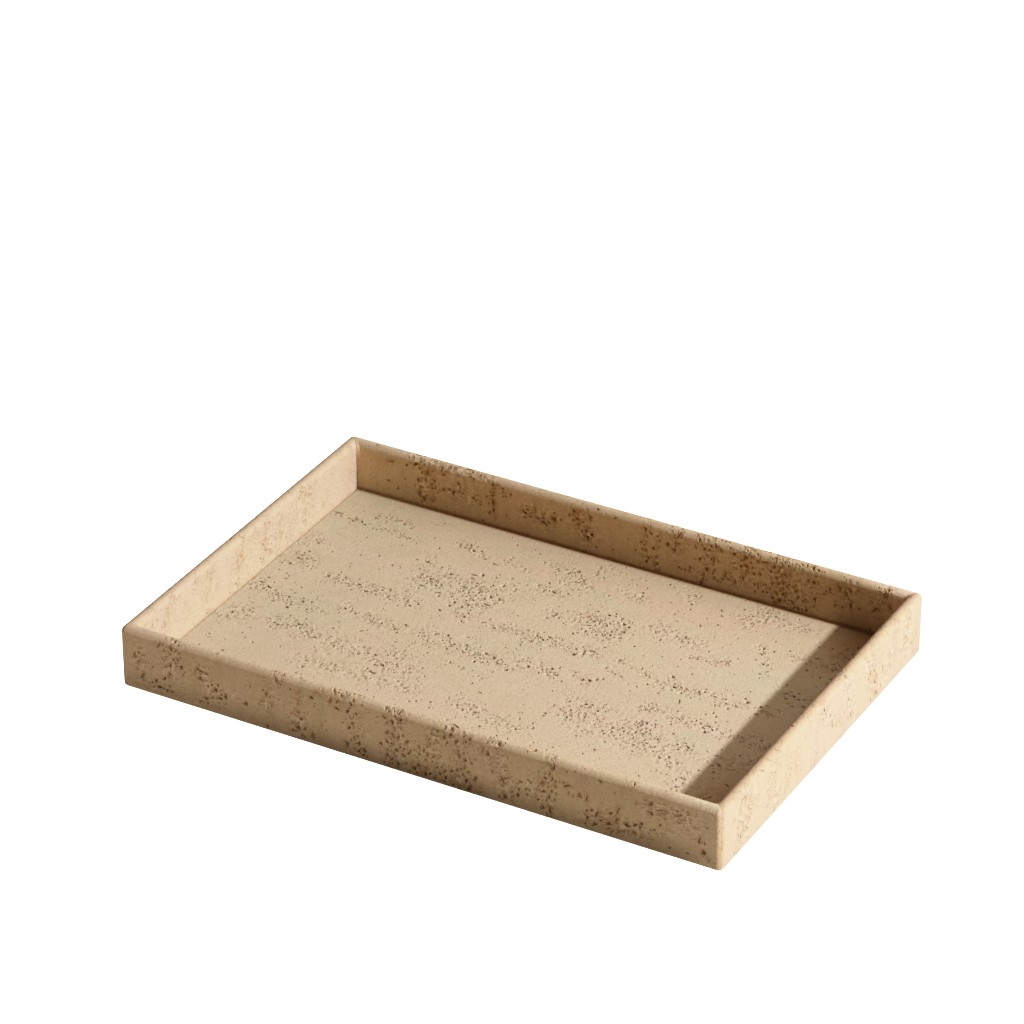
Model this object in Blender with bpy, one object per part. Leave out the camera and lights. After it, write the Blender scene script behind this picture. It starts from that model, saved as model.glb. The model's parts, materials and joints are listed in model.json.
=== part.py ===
# A vanity tray made of five slabs of vein-cut travertine.
# Four mitred walls with a full-round rim stand around a base slab.
# Every seam is glued, and four soft feet are taped under the base.
# Units are metres. X runs along the long side, Y from front to back, Z up.
# The origin is the tray's middle, on the surface that the feet stand on.

import math

import bmesh
import bpy
from mathutils import Vector

# Outside of the stone
TRAY_LENGTH = 0.300
TRAY_WIDTH = 0.201
WALL_HEIGHT = 0.031

# Slabs and their worked edges
WALL_THICKNESS = 0.0062
BASE_THICKNESS = 0.0052
CORNER_RADIUS = 0.0031
LOWER_EDGE_RADIUS = 0.0017
BASE_ARRIS = 0.0004

# Seams: the glue, and the free space on each side of it
GLUE_THICKNESS = 0.0003
SEAM_CLEARANCE = 0.0003
BEAD_RECESS = 0.0006

# Feet, and the tape that holds them to the base
FOOT_DIAMETER = 0.010
FOOT_HEIGHT = 0.0018
FOOT_EDGE_RADIUS = 0.0006
FOOT_INSET = 0.024
TAPE_DIAMETER = 0.009
TAPE_THICKNESS = 0.0003

# How finely the round stretches are stepped
RIM_STEPS = 16
CORNER_STEPS = 8
LOWER_EDGE_STEPS = 5
FOOT_SIDES = 48
FOOT_EDGE_STEPS = 4

# Points closer than this are one point
MERGE_DISTANCE = 0.000001

# Smooth shading breaks where faces meet at more than this
SHARP_ANGLE = math.radians(40)

# Derived sizes and levels
RIM_RADIUS = WALL_THICKNESS / 2
SEAM_WIDTH = GLUE_THICKNESS + SEAM_CLEARANCE + SEAM_CLEARANCE
HALF_LENGTH = TRAY_LENGTH / 2
HALF_WIDTH = TRAY_WIDTH / 2
TAPE_LEVEL = FOOT_HEIGHT + SEAM_CLEARANCE
STONE_LEVEL = TAPE_LEVEL + TAPE_THICKNESS + SEAM_CLEARANCE

SIDE_NAMES = {-1: "left", 1: "right"}
END_NAMES = {-1: "front", 1: "back"}


def clear_scene():
    for old in list(bpy.data.objects):
        bpy.data.objects.remove(old, do_unlink=True)


# Materials

def plain_material(name, colour, roughness):
    material = bpy.data.materials.new(name)
    material.use_nodes = True
    shader = material.node_tree.nodes["Principled BSDF"]
    shader.inputs["Base Color"].default_value = (*colour, 1.0)
    shader.inputs["Roughness"].default_value = roughness
    shader.inputs["Metallic"].default_value = 0.0
    material.diffuse_color = (*colour, 1.0)
    return material


def floor_stone():
    return plain_material("floor_stone", (0.66, 0.54, 0.40), 0.55)


def wall_stone():
    return plain_material("wall_stone", (0.64, 0.50, 0.35), 0.5)


def seam_glue():
    return plain_material("seam_glue", (0.58, 0.47, 0.34), 0.4)


def foot_silicone():
    return plain_material("foot_silicone", (0.72, 0.71, 0.68), 0.35)


def foot_tape():
    return plain_material("foot_tape", (0.80, 0.79, 0.75), 0.45)


# Shared making steps

def place(name, bm, material, spot, carrier):
    """Turns a finished bmesh into a named, smooth-shaded object on its carrier."""
    bmesh.ops.recalc_face_normals(bm, faces=bm.faces[:])
    mesh = bpy.data.meshes.new(name)
    bm.to_mesh(mesh)
    bm.free()
    mesh.shade_smooth()
    mesh.set_sharp_from_angle(angle=SHARP_ANGLE)
    mesh.materials.append(material)
    piece = bpy.data.objects.new(name, mesh)
    piece.location = spot
    piece.parent = carrier
    bpy.context.scene.collection.objects.link(piece)
    return piece


def block(length, width, height):
    """A block that stands on its own origin."""
    bm = bmesh.new()
    bmesh.ops.create_cube(bm, size=1.0)
    bmesh.ops.translate(bm, verts=bm.verts[:], vec=(0, 0, 1 / 2))
    bmesh.ops.scale(bm, verts=bm.verts[:], vec=(length, width, height))
    return bm


def disc(diameter, height, sides):
    """A round disc that stands on its own origin."""
    bm = bmesh.new()
    radius = diameter / 2
    bmesh.ops.create_circle(bm, cap_ends=True, radius=radius, segments=sides)
    raised = bmesh.ops.extrude_face_region(bm, geom=bm.faces[:])
    top = [item for item in raised["geom"] if isinstance(item, bmesh.types.BMVert)]
    bmesh.ops.translate(bm, verts=top, vec=(0, 0, height))
    return bm


# The wall ring, from which the walls and their glue are cut

def wall_section():
    """The wall's section as (distance in from the outside, height), from the lower
    edge up the outside, over the rim and down the inside."""
    points = []
    for step in range(LOWER_EDGE_STEPS + 1):
        angle = math.pi / 2 * step / LOWER_EDGE_STEPS
        inward = LOWER_EDGE_RADIUS * (1 - math.sin(angle))
        height = LOWER_EDGE_RADIUS * (1 - math.cos(angle))
        points.append((inward, height))
    for step in range(RIM_STEPS + 1):
        angle = math.pi * step / RIM_STEPS
        inward = RIM_RADIUS * (1 - math.cos(angle))
        height = WALL_HEIGHT - RIM_RADIUS + RIM_RADIUS * math.sin(angle)
        points.append((inward, height))
    points.append((WALL_THICKNESS, 0))
    return points


def outline(inward):
    """A loop round the tray, set in from its outside. The corners lose their
    radius on the way in, and are sharp from CORNER_RADIUS inwards."""
    radius = max(CORNER_RADIUS - inward, 0)
    centre_x = HALF_LENGTH - inward - radius
    centre_y = HALF_WIDTH - inward - radius
    points = []
    for quarter, (side, end) in enumerate(((1, 1), (-1, 1), (-1, -1), (1, -1))):
        for step in range(CORNER_STEPS + 1):
            angle = math.pi / 2 * (quarter + step / CORNER_STEPS)
            x = side * centre_x + radius * math.cos(angle)
            y = end * centre_y + radius * math.sin(angle)
            points.append((x, y))
    return points


def wall_ring():
    """The four walls as one closed ring, lofted through its outlines."""
    bm = bmesh.new()
    loops = []
    for inward, height in wall_section():
        loops.append([bm.verts.new((x, y, height)) for x, y in outline(inward)])
    for loop, following in zip(loops, loops[1:] + loops[:1]):
        for here in range(len(loop)):
            beside = (here + 1) % len(loop)
            bm.faces.new((loop[here], loop[beside], following[beside], following[here]))
    bmesh.ops.remove_doubles(bm, verts=bm.verts[:], dist=MERGE_DISTANCE)
    bmesh.ops.dissolve_degenerate(bm, dist=MERGE_DISTANCE, edges=bm.edges[:])
    return bm


def mitre(side, end):
    """The corner's upright edge and the mitre's normal, towards the long wall."""
    corner = Vector((side * HALF_LENGTH, end * HALF_WIDTH, 0))
    normal = Vector((-side, end, 0)).normalized()
    return corner, normal


def keep_beyond(bm, point, normal):
    """Cuts off all that lies behind a plane."""
    everything = bm.verts[:] + bm.edges[:] + bm.faces[:]
    bmesh.ops.bisect_plane(
        bm, geom=everything, dist=MERGE_DISTANCE,
        plane_co=point, plane_no=normal, clear_inner=True,
    )


def close_cuts(bm):
    open_edges = [edge for edge in bm.edges if edge.is_boundary]
    bmesh.ops.holes_fill(bm, edges=open_edges, sides=len(open_edges))
    bmesh.ops.triangulate(bm, faces=[face for face in bm.faces if len(face.verts) > 4])


# The sub-parts

def long_wall(end, stone, carrier):
    """The front or back wall, between its two mitres."""
    bm = wall_ring()
    for side in (-1, 1):
        corner, normal = mitre(side, end)
        keep_beyond(bm, corner + normal * SEAM_WIDTH / 2, normal)
    close_cuts(bm)
    place(END_NAMES[end] + "_wall", bm, stone, (0, 0, STONE_LEVEL), carrier)


def short_wall(side, stone, carrier):
    """The left or right wall, between its two mitres."""
    bm = wall_ring()
    for end in (-1, 1):
        corner, normal = mitre(side, end)
        keep_beyond(bm, corner - normal * SEAM_WIDTH / 2, -normal)
    close_cuts(bm)
    place(SIDE_NAMES[side] + "_wall", bm, stone, (0, 0, STONE_LEVEL), carrier)


def mitre_glue(side, end, glue, carrier):
    """The film in one mitre, flush with the walls all round."""
    bm = wall_ring()
    corner, normal = mitre(side, end)
    keep_beyond(bm, corner - normal * GLUE_THICKNESS / 2, normal)
    keep_beyond(bm, corner + normal * GLUE_THICKNESS / 2, -normal)
    keep_beyond(bm, Vector((0, 0, 0)), Vector((side, 0, 0)))
    close_cuts(bm)
    name = "mitre_glue_" + END_NAMES[end] + "_" + SIDE_NAMES[side]
    place(name, bm, glue, (0, 0, STONE_LEVEL), carrier)


def base_slab(stone, carrier):
    """The base, set inside the walls, with a fine arris on its edges."""
    setback = WALL_THICKNESS + SEAM_WIDTH
    bm = block(
        TRAY_LENGTH - setback - setback,
        TRAY_WIDTH - setback - setback,
        BASE_THICKNESS,
    )
    bmesh.ops.bevel(
        bm, geom=bm.edges[:], offset=BASE_ARRIS, segments=1,
        profile=0.5, affect="EDGES", material=-1,
    )
    place("base_slab", bm, stone, (0, 0, STONE_LEVEL), carrier)


def base_beads(glue, carrier):
    """The glue between the base and each wall, kept just under the floor."""
    height = BASE_THICKNESS - BEAD_RECESS
    from_wall = WALL_THICKNESS + SEAM_CLEARANCE + GLUE_THICKNESS / 2
    long_run = TRAY_LENGTH - 2 * (WALL_THICKNESS + SEAM_CLEARANCE)
    short_run = TRAY_WIDTH - 2 * (WALL_THICKNESS + SEAM_WIDTH)
    for end in (-1, 1):
        bm = block(long_run, GLUE_THICKNESS, height)
        spot = (0, end * (HALF_WIDTH - from_wall), STONE_LEVEL)
        place("base_glue_" + END_NAMES[end], bm, glue, spot, carrier)
    for side in (-1, 1):
        bm = block(GLUE_THICKNESS, short_run, height)
        spot = (side * (HALF_LENGTH - from_wall), 0, STONE_LEVEL)
        place("base_glue_" + SIDE_NAMES[side], bm, glue, spot, carrier)


def foot(side, end, silicone, tape, carrier):
    """A soft round foot with an eased lower edge, and the tape above it."""
    x = side * (HALF_LENGTH - FOOT_INSET)
    y = end * (HALF_WIDTH - FOOT_INSET)
    name = END_NAMES[end] + "_" + SIDE_NAMES[side]
    bm = disc(FOOT_DIAMETER, FOOT_HEIGHT, FOOT_SIDES)
    lower = [edge for edge in bm.edges if all(vert.co.z == 0 for vert in edge.verts)]
    bmesh.ops.bevel(
        bm, geom=lower, offset=FOOT_EDGE_RADIUS, segments=FOOT_EDGE_STEPS,
        profile=0.5, affect="EDGES", material=-1,
    )
    place("foot_" + name, bm, silicone, (x, y, 0), carrier)
    bm = disc(TAPE_DIAMETER, TAPE_THICKNESS, FOOT_SIDES)
    place("foot_tape_" + name, bm, tape, (x, y, TAPE_LEVEL), carrier)


def build_tray():
    clear_scene()
    carrier = bpy.data.objects.new("tray", None)
    bpy.context.scene.collection.objects.link(carrier)
    stone = wall_stone()
    glue = seam_glue()
    silicone = foot_silicone()
    tape = foot_tape()
    base_slab(floor_stone(), carrier)
    base_beads(glue, carrier)
    for end in (-1, 1):
        long_wall(end, stone, carrier)
    for side in (-1, 1):
        short_wall(side, stone, carrier)
    for side in (-1, 1):
        for end in (-1, 1):
            mitre_glue(side, end, glue, carrier)
            foot(side, end, silicone, tape, carrier)


build_tray()
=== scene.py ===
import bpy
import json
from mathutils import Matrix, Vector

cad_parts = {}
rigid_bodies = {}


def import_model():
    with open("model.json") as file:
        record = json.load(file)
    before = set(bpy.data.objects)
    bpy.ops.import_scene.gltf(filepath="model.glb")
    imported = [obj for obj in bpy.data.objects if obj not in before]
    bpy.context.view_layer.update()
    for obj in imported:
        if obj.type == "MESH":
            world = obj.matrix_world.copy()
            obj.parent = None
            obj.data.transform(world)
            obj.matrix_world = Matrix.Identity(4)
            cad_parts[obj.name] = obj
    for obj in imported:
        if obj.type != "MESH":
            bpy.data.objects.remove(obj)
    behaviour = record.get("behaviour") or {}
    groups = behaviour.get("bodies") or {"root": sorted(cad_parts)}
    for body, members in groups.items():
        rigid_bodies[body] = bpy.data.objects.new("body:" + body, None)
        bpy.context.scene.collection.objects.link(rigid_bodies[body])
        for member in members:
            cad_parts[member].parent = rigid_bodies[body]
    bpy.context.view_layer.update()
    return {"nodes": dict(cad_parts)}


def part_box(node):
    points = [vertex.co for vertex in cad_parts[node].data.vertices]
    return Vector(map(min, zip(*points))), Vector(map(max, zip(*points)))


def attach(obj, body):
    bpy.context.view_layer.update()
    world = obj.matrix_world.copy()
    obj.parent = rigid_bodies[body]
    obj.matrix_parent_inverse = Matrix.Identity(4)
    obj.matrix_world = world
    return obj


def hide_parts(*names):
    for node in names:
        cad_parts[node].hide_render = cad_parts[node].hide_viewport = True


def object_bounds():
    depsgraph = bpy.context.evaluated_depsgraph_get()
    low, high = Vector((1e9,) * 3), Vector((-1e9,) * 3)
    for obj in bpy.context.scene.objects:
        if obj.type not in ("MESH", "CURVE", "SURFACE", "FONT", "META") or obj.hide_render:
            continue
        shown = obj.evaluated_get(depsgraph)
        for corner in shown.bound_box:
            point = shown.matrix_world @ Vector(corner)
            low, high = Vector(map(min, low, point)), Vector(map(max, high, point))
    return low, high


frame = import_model()

import json
import math
import random

import bmesh
import bpy
import numpy as np
from mathutils import Vector
from mathutils.geometry import delaunay_2d_cdt

# The stone is laid out flat in millimetres, then bent and placed in metres.
mm = 0.001
mitreAngle = math.pi / 4

frontLow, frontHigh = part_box("front_wall")
slabLow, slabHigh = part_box("base_slab")
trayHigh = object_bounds()[1]

tray = {
    "halfLength": trayHigh.x / mm,
    "halfWidth": trayHigh.y / mm,
    "wall": (frontHigh.y - frontLow.y) / mm,
    "height": (frontHigh.z - frontLow.z) / mm,
    "base": (slabHigh.z - slabLow.z) / mm,
    "stoneLevel": frontLow.z / mm,
    "cornerRadius": 3.1,       # outer upright corners
    "lowerEdge": 1.7,          # rounding under the walls
    "lowerClear": 0.7,         # how far a pore may reach into it
    "innerEase": 2.4,          # sanded inner corners of the rim
    "easeFade": 6.0,           # how far down that sanding runs out
    "glue": 0.3,               # film in the mitres, bead round the base
    "hair": 0.02,              # stone to bead
    "mitreHair": 0.005,        # stone to the film in a mitre
    "endClear": 1.2,           # no pore this close to a mitre
    "baseClear": 0.4,          # or to the base
    "grid": 3.0,               # spacing of the points between pores
    "jitter": 0.25,            # how far they stray, in spacings
    "gridClear": 0.3,          # none this close to a mitre
    "joint": (0.6, 1.3, 2.4),  # guide lines beside the joint of wall and base
    "cornerSteps": 4,
    "lowerSteps": 5,
    "rimSteps": 18,
    "tipSteps": 5,             # at the ends of a guide line
    "sharpTurn": 38,           # degrees between faces that shade apart
    "sliver": 0.003,           # shorter edges are dissolved
    "near": 0.01,              # closer than this counts as on an edge
    "weld": 0.0001,            # and closer than this as the same place
}
tray["rim"] = tray["wall"] / 2


# Pores

poreShape = {
    "gap": 0.05,                 # stone left between two pores
    "cell": 2.8,                 # search grid
    "rings": ((0.74, 0.40), (0.38, 1.0)),  # width share, depth share
    "tones": (0.3, 1.0),
    "stainSizes": (0.20, 0.75),  # the small ones are pale, the large ones fully stained
    "leastStain": 0.2,
    "halo": 1.35,                # how far a stain reaches round the mouth
    "sides": ((0.45, 5), (0.65, 7), (0.95, 9), (9.0, 11)),  # up to this size, so many sides
    "slip": 0.24,                # how unevenly its corners are spaced
    "reach": (0.5, 1.12),        # how far a corner lies from the middle, in sizes
    "depths": (0.4, 1.0),        # in sizes
    "deepest": 1.1,
    "waver": 0.5,                # radians off the vein
    "room": 1.05,                # a mouth's radius when two may come close
    "together": 0.5,             # share of a vein's pores that lie right beside another
    "beside": (0.98, 1.2),
    "clumpEvery": 4,             # millimetres of vein to a clump
    "clumped": 0.6,              # share of the others that lie in clumps
    "clumpSpread": 1.2,
    "bandSpread": 0.26,          # in widths of the band
    "straySizes": (0.5, 1.5),
    # short curved channels: length and width in sizes, then what cuts them off
    "channelLength": (1.6, 4.5),
    "channelWidth": 0.6,
    "longest": 3.2,
    "widest": 0.55,
    "step": 1.4,                 # along the middle line, in widths
    "bend": 1.5,                 # radians from end to end
    "sideReach": (0.55, 1.0),
    "tipReach": (0.6, 1.0),
    "taper": 0.7,                # ends against the middle
}


def turned(x, y, along, across, turn):
    # the point so far along and across a direction
    return (
        x + along * math.cos(turn) - across * math.sin(turn),
        y + along * math.sin(turn) + across * math.cos(turn),
    )


def roundPore(rng, x, y, size, stretch, turn):
    # an uneven outline round a middle, a little longer along the vein
    sides = next(count for largest, count in poreShape["sides"] if size < largest)
    start = rng.uniform(0, 1)
    slip = poreShape["slip"]
    outline = []
    for side in range(sides):
        angle = 2 * math.pi * (side + start + rng.uniform(-slip, slip)) / sides
        reach = size * rng.uniform(*poreShape["reach"])
        along = reach * stretch * math.cos(angle)
        across = reach / stretch * math.sin(angle)
        outline.append(turned(x, y, along, across, turn))
    room = poreShape["room"] * size
    slide = room * (stretch - 1 / stretch)
    discs = [(*turned(x, y, k * slide, 0, turn), room / stretch) for k in (-1, 0, 1)]
    return outline, [(x, y)], discs


def channelPore(rng, x, y, size, length, turn):
    # a short curved channel: two uneven sides along a bent middle line
    count = max(2, round(length / (poreShape["step"] * size))) + 1
    bend = rng.uniform(-poreShape["bend"], poreShape["bend"])
    step = length / (count - 1)
    middle, heading = [(0.0, 0.0)], turn - bend / 2
    for _ in range(count - 1):
        middle.append(turned(*middle[-1], step, 0, heading))
        heading += bend / (count - 1)
    shiftX = x - (middle[0][0] + middle[-1][0]) / 2
    shiftY = y - (middle[0][1] + middle[-1][1]) / 2
    middle = [(mx + shiftX, my + shiftY) for mx, my in middle]
    headings = [turn - bend / 2 + bend * k / (count - 1) for k in range(count)]

    def side(k, angle):
        taper = poreShape["taper"] if k in (0, count - 1) else 1.0
        reach = size * rng.uniform(*poreShape["sideReach"]) * taper
        return turned(*middle[k], reach, 0, headings[k] + angle)

    def tip(k, angle):
        return turned(*middle[k], size * rng.uniform(*poreShape["tipReach"]), 0, headings[k] + angle)

    outline = [side(k, -math.pi / 2) for k in range(count)]
    outline.append(tip(count - 1, 0))
    outline += [side(k, math.pi / 2) for k in reversed(range(count))]
    outline.append(tip(0, math.pi))
    return outline, middle, [(mx, my, size) for mx, my in middle]


def hasRoom(taken, discs):
    cell = poreShape["cell"]
    for x, y, radius in discs:
        column, row = int(x // cell), int(y // cell)
        for i in (-1, 0, 1):
            for j in (-1, 0, 1):
                for ox, oy, other in taken.get((column + i, row + j), ()):
                    if math.hypot(x - ox, y - oy) < radius + other + poreShape["gap"]:
                        return False
    return True


def claim(taken, discs):
    cell = poreShape["cell"]
    for disc in discs:
        key = (int(disc[0] // cell), int(disc[1] // cell))
        taken.setdefault(key, []).append(disc)


def layPores(stone, fits):
    # single holes first, then the bands, then strays all over
    shape = poreShape
    rng = random.Random(stone["seed"])
    taken, pores = {}, []

    def tryPore(x, y, size, turn):
        if rng.random() < stone["channels"]:
            length = min(size * rng.uniform(*shape["channelLength"]), shape["longest"])
            width = min(size * shape["channelWidth"], shape["widest"])
            outline, middles, discs = channelPore(rng, x, y, width, length, turn)
        else:
            stretch = rng.uniform(1.0, stone["stretch"])
            outline, middles, discs = roundPore(rng, x, y, size, stretch, turn)
        accepted = all(fits(*disc) for disc in discs) and hasRoom(taken, discs)
        if accepted:
            claim(taken, discs)
            depth = size * rng.uniform(*shape["depths"])
            low, high = shape["stainSizes"]
            pores.append({
                "outline": outline, "middles": middles, "discs": discs,
                "depth": min(depth, shape["deepest"]) * stone["depth"],
                "stain": min(1.0, max(shape["leastStain"], (size - low) / (high - low))),
            })
        return accepted

    for x, y, size in stone["holes"]:
        tryPore(x, y, size, stone["grainTurn"] + rng.uniform(-shape["waver"], shape["waver"]))
    for x, y, length, width, turn, count, bold in stone["bands"]:
        angle = math.radians(turn)
        clumps = [rng.uniform(-0.5, 0.5) for _ in range(max(3, int(length / shape["clumpEvery"])))]
        last = None
        for _ in range(int(count * stone["density"])):
            size = min(bold * stone["size"] * math.exp(rng.gauss(0, stone["uneven"])), stone["largest"])
            if last and rng.random() < shape["together"]:
                reach = (last[2] + size) * shape["room"] * rng.uniform(*shape["beside"])
                spot = turned(*last[:2], reach, 0, rng.uniform(0, 2 * math.pi))
            else:
                if rng.random() < shape["clumped"]:
                    along = length * rng.choice(clumps) + rng.gauss(0, shape["clumpSpread"])
                else:
                    along = length * rng.uniform(-0.5, 0.5)
                spot = turned(x, y, along, rng.gauss(0, width * shape["bandSpread"]), angle)
            if tryPore(*spot, size, angle + rng.gauss(0, shape["waver"])):
                last = (*spot, size)
    lowX, lowY, highX, highY = stone["field"]
    for _ in range(stone["strays"]):
        size = stone["size"] * rng.uniform(*shape["straySizes"])
        tryPore(rng.uniform(lowX, highX), rng.uniform(lowY, highY), size, rng.uniform(0, math.pi))
    return pores


# Sheets of stone

bandPaint = {
    "reach": {"vein": 3.0, "rust": 0.8},
    "endFade": 1.5,    # both fades in reaches
    "sideFade": 0.3,
    "sideWidth": 0.5,  # in widths of the band
    "jointFade": 1.5,
}


def bandShare(points, bands, reach):
    # 0 to 1, how much a point lies in any band
    shares = np.zeros(len(points))
    for band in bands:
        x, y, length, width, turn = band[:5]
        angle = math.radians(turn)
        dx, dy = points[:, 0] - x, points[:, 1] - y
        along = dx * math.cos(angle) + dy * math.sin(angle)
        across = dy * math.cos(angle) - dx * math.sin(angle)
        beyond = np.maximum(np.abs(along) - length / 2, 0) / (reach * bandPaint["endFade"])
        aside = across / (width * bandPaint["sideWidth"] + reach * bandPaint["sideFade"])
        shares = np.maximum(shares, np.exp(-(beyond ** 2) - aside ** 2))
    return shares


def vertsOf(items):
    return [item for item in items if isinstance(item, bmesh.types.BMVert)]


def stoneSheet(boundary, lines, between, pores, mouthTone):
    # one flat triangulated sheet with every pore's mouth in it
    points = list(boundary)
    faces = [list(range(len(boundary)))]
    edges = []
    for line in lines:
        start = len(points)
        points += line
        edges += [(start + k, start + k + 1) for k in range(len(line) - 1)]
    for pore in pores:
        start = len(points)
        points += pore["outline"]
        faces.append(list(range(start, len(points))))
    points += between
    if mouthTone:
        # points where the stain round each round mouth ends
        reach = poreShape["halo"]
        for pore in pores:
            if len(pore["middles"]) == 1:
                mx, my = pore["middles"][0]
                points += [(mx + (x - mx) * reach, my + (y - my) * reach) for x, y in pore["outline"]]
    # 1 leaves out what lies outside the boundary, and points closer than the next number are one
    spots, _, triangles, _, _, owners = delaunay_2d_cdt(points, edges, faces, 1, 0.00001, True)

    bm = bmesh.new()
    bottom = bm.verts.layers.float_vector.new("bottom")
    tone = bm.verts.layers.float.new("pore")
    stain = bm.verts.layers.float.new("stain")
    verts = [bm.verts.new((x, y, 0)) for x, y in spots]
    sinking = []
    for triangle, owned in zip(triangles, owners):
        if 0 in owned:
            face = bm.faces.new([verts[k] for k in triangle])
            if max(owned) > 0:
                # a mouth sinks towards the nearest point of its pore's middle line
                pore = pores[max(owned) - 1]
                for vert in face.verts:
                    x, y = min(pore["middles"], key=lambda spot: math.dist(spot, vert.co.xy))
                    vert[bottom] = (x, y, pore["depth"])
                    vert[tone] = mouthTone * pore["stain"]
                    vert[stain] = pore["stain"]
                sinking.append(face)
    bmesh.ops.delete(bm, geom=[vert for vert in bm.verts if not vert.link_faces], context="VERTS")

    # each ring is an extrusion of all the pores at once, drawn in and down
    lastWidth = 1.0
    for (width, depth), shade in zip(poreShape["rings"], poreShape["tones"]):
        made = bmesh.ops.extrude_face_region(bm, geom=sinking)["geom"]
        bmesh.ops.delete(bm, geom=sinking, context="FACES")
        sinking = [item for item in made if isinstance(item, bmesh.types.BMFace)]
        draw = width / lastWidth
        for vert in vertsOf(made):
            x, y, deep = vert[bottom]
            vert.co = (x + (vert.co.x - x) * draw, y + (vert.co.y - y) * draw, depth * deep)
            vert[tone] = shade * vert[stain]
        lastWidth = width
    return bm


def paintBands(bm, stone, jointAt):
    flat = np.array([vert.co[:2] for vert in bm.verts])
    joint = bm.verts.layers.float.new("joint")
    for vert in bm.verts:
        away = jointAt(vert.co)
        if away >= 0:
            vert[joint] = max(0.0, 1 - away / tray["joint"][-1]) ** bandPaint["jointFade"]
    for name, bands in (("vein", stone["bands"]), ("rust", stone["rust"])):
        layer = bm.verts.layers.float.new(name)
        for vert, value in zip(bm.verts, bandShare(flat, bands, bandPaint["reach"][name])):
            vert[layer] = float(value)


def jitterGrid(lowX, lowY, highX, highY, pores, seed):
    # points between the pores, so that the painted bands have something to sit on
    rng = random.Random(seed)
    step, jitter = tray["grid"], tray["jitter"]
    taken = {}
    for pore in pores:
        claim(taken, pore["discs"])
    columns = max(1, round((highX - lowX) / step))
    rows = max(1, round((highY - lowY) / step))
    points = []
    for i in range(1, columns):
        for j in range(1, rows):
            x = lowX + (highX - lowX) * (i + rng.uniform(-jitter, jitter)) / columns
            y = lowY + (highY - lowY) * (j + rng.uniform(-jitter, jitter)) / rows
            if hasRoom(taken, [(x, y, 0)]):
                points.append((x, y))
    return points


def placeObject(name, data):
    made = bpy.data.objects.new(name, data)
    bpy.context.scene.collection.objects.link(made)
    return made


def finishPiece(name, bm, node, material):
    # a piece that rides on the tray in place of its plain solid
    bmesh.ops.recalc_face_normals(bm, faces=bm.faces[:])
    mesh = bpy.data.meshes.new(name)
    bm.to_mesh(mesh)
    bm.free()
    mesh.shade_smooth()
    mesh.set_sharp_from_angle(angle=math.radians(tray["sharpTurn"]))
    mesh.materials.append(material)
    piece = placeObject(name, mesh)
    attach(piece, "root")
    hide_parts(node)
    print(name, len(mesh.polygons), "faces")
    return mesh


def finishStone(name, bm, node, material):
    bmesh.ops.dissolve_degenerate(bm, dist=tray["sliver"] * mm, edges=bm.edges[:])
    mesh = finishPiece(name, bm, node, material)
    for spare in ("bottom", "stain"):
        mesh.attributes.remove(mesh.attributes[spare])


# Walls

def wallStations():
    # how far round the section each guide line lies, from the inner lower edge
    t, r, rim, height = tray["wall"], tray["lowerEdge"], tray["rim"], tray["height"]
    under = t - r
    stations = [0, t - tray["cornerRadius"]]
    for step in range(tray["lowerSteps"] + 1):
        stations.append(under + r * math.pi / 2 * step / tray["lowerSteps"])
    outerEnd = stations[-1] + height - rim - r
    for step in range(tray["rimSteps"] + 1):
        stations.append(outerEnd + rim * math.pi * step / tray["rimSteps"])
    innerEnd = stations[-1] + height - rim
    stations.append(stations[-1] + tray["easeFade"])
    baseTop = innerEnd - tray["base"]
    stations += [baseTop - away for away in reversed(tray["joint"])]
    return stations + [baseTop, innerEnd], outerEnd


stations, outerEnd = wallStations()


def sectionPoint(v):
    # (distance in, height, way in, way up) at a distance v round the section
    t, r, rim, height = tray["wall"], tray["lowerEdge"], tray["rim"], tray["height"]
    under = t - r
    if v < under:
        return t - v, 0.0, 0.0, 1.0
    v -= under
    if v < r * math.pi / 2:
        angle = v / r
        return r * (1 - math.sin(angle)), r * (1 - math.cos(angle)), math.sin(angle), math.cos(angle)
    v -= r * math.pi / 2
    if v < height - rim - r:
        return 0.0, r + v, 1.0, 0.0
    v -= height - rim - r
    if v < rim * math.pi:
        angle = v / rim
        level = height - rim + rim * math.sin(angle)
        return rim * (1 - math.cos(angle)), level, math.cos(angle), -math.sin(angle)
    v -= rim * math.pi
    return t, height - rim - v, -1.0, 0.0


def easeAt(v, inward):
    # radius of the sanded inner corner there: none at the rim's crest, most at its inner side
    crest = outerEnd + tray["rim"] * math.pi / 2
    side = outerEnd + tray["rim"] * math.pi
    if v <= crest or inward <= tray["cornerRadius"]:
        return 0.0
    if v < side:
        return tray["innerEase"] * math.sin((v - crest) / (side - crest) * math.pi / 2)
    fade = 1 - min((v - side) / tray["easeFade"], 1)
    return tray["innerEase"] * fade * fade


def bendWall(s, v, sink, half, away, along, outward):
    # from the flat sheet to the wall: round the section, and round the outer corners
    inward, height, turnIn, turnUp = sectionPoint(v)
    corner = tray["cornerRadius"]
    deepIn = inward + sink * turnIn
    level = height + sink * turnUp
    straight = half - corner
    side = 1 if s >= 0 else -1
    radius = corner - inward
    if radius > tray["weld"] and abs(s) > straight:
        angle = (abs(s) - straight) / radius
        x = side * (straight + (corner - deepIn) * math.sin(angle))
        y = away - corner + (corner - deepIn) * math.cos(angle)
    else:
        x, y = s, away - deepIn
        ease = easeAt(v, inward)
        toCorner = half - inward - abs(s)
        if ease > 0 and toCorner < ease:
            angle = (1 - toCorner / ease) * mitreAngle
            x = side * (half - inward - ease * (1 - math.sin(angle)))
            y -= ease * (1 - math.cos(angle))
    spot = along * x + outward * y
    return Vector((spot.x, spot.y, level + tray["stoneLevel"])) * mm


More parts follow.
